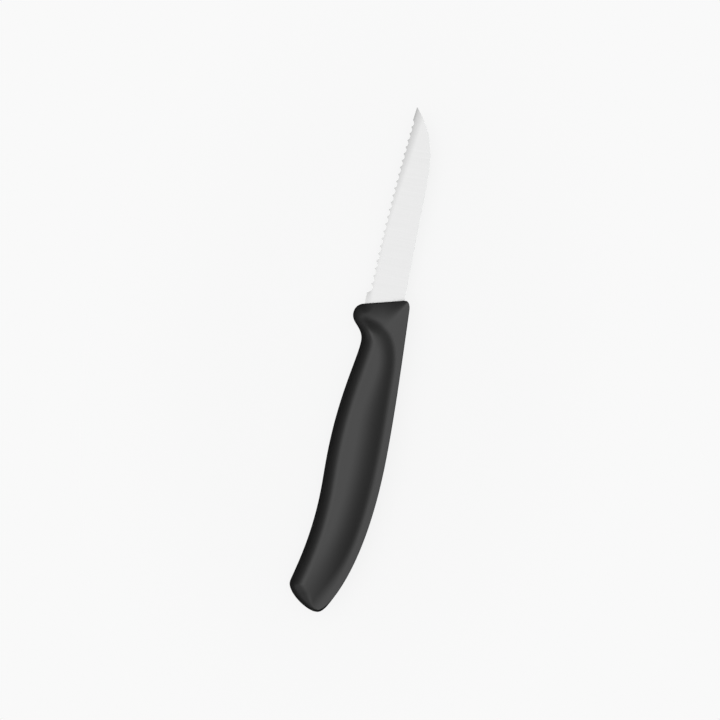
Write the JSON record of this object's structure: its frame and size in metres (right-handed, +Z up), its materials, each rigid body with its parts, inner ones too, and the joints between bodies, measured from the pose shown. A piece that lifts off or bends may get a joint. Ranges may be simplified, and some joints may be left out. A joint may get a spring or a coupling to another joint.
{
  "type": "serrated paring knife",
  "caption": "Small paring knife with a scalloped stainless steel blade and a black moulded plastic handle with a palm swell.",
  "frame": {"origin": "under the middle of the knife's box, on the plane that the knife lies on", "axes": "+X along the blade towards the point, +Y towards the cutting edge, +Z up out of the left flank, which is flat to the teeth; the scallops are ground into the right flank"},
  "size_m": [0.1826, 0.0254, 0.014],
  "materials": {
    "blade_steel": "fine satin, ground across the blade",
    "handle_plastic": "fine matte mould texture"
  },
  "bodies": {
    "root": {"blade": "blade_steel", "handle": "handle_plastic"}
  },
  "joints": []
}
